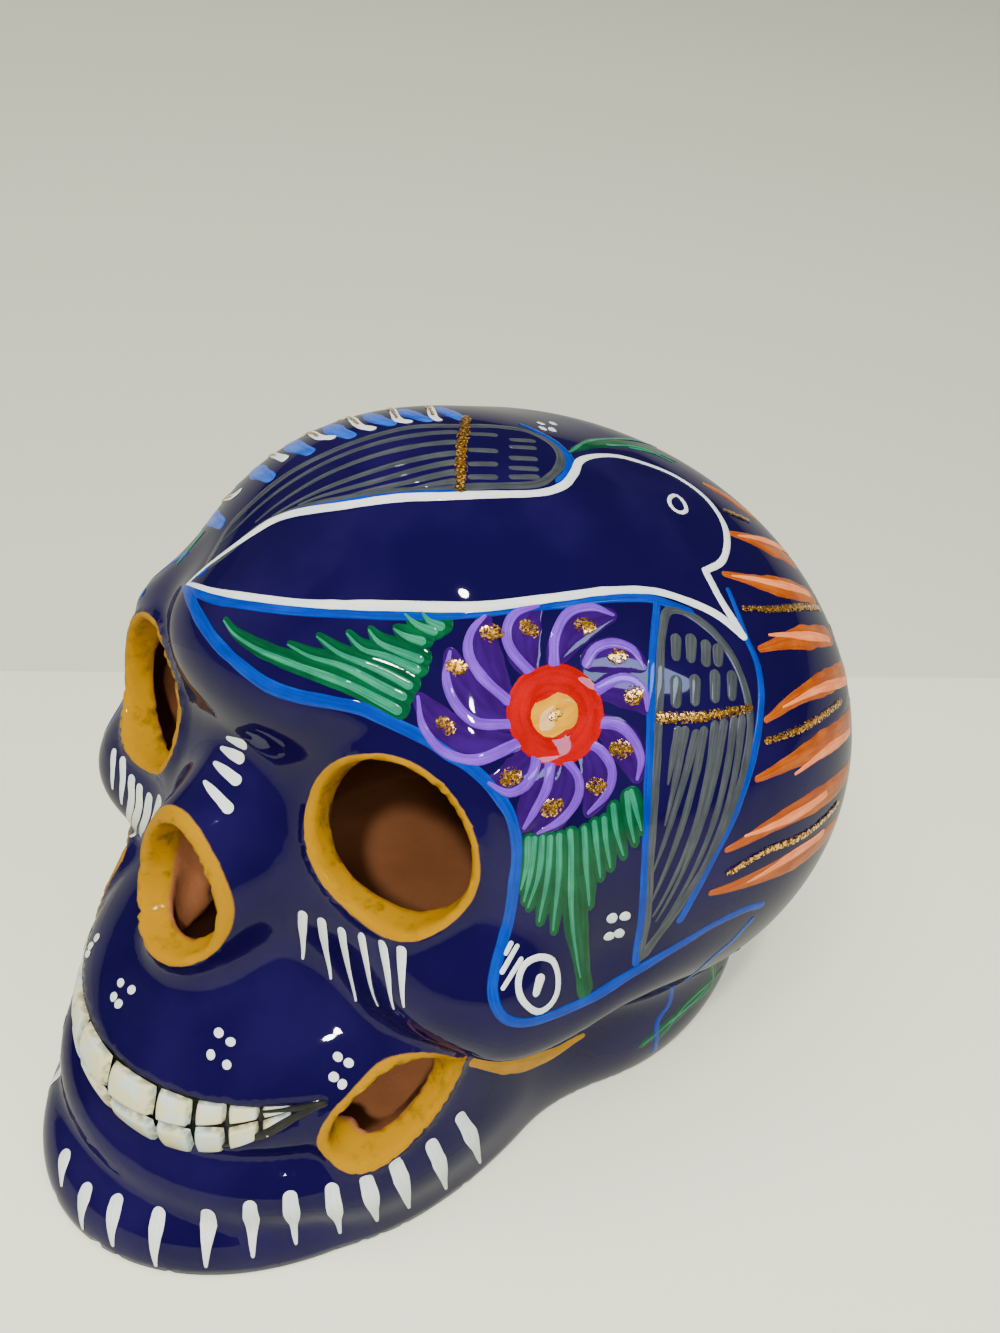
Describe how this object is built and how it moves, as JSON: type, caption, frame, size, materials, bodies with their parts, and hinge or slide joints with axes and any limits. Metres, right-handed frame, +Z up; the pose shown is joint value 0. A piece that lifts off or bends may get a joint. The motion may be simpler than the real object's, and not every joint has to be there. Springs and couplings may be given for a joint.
{
  "type": "ceramic sugar skull",
  "caption": "Hollow slip-cast clay skull with open eye sockets, nose and jaw slots, painted in folk style and standing on its flat underside.",
  "frame": {"origin": "middle of the bounding box on the underside", "axes": "+Z up, the face looks toward -Y, +X is the skull's own left side, which the picture shows"},
  "size_m": [0.138, 0.1644, 0.1174],
  "materials": {
    "skull": "painted over red clay under a clear gloss varnish, bare red clay inside"
  },
  "bodies": {
    "root": {"skull": "skull"}
  },
  "joints": []
}
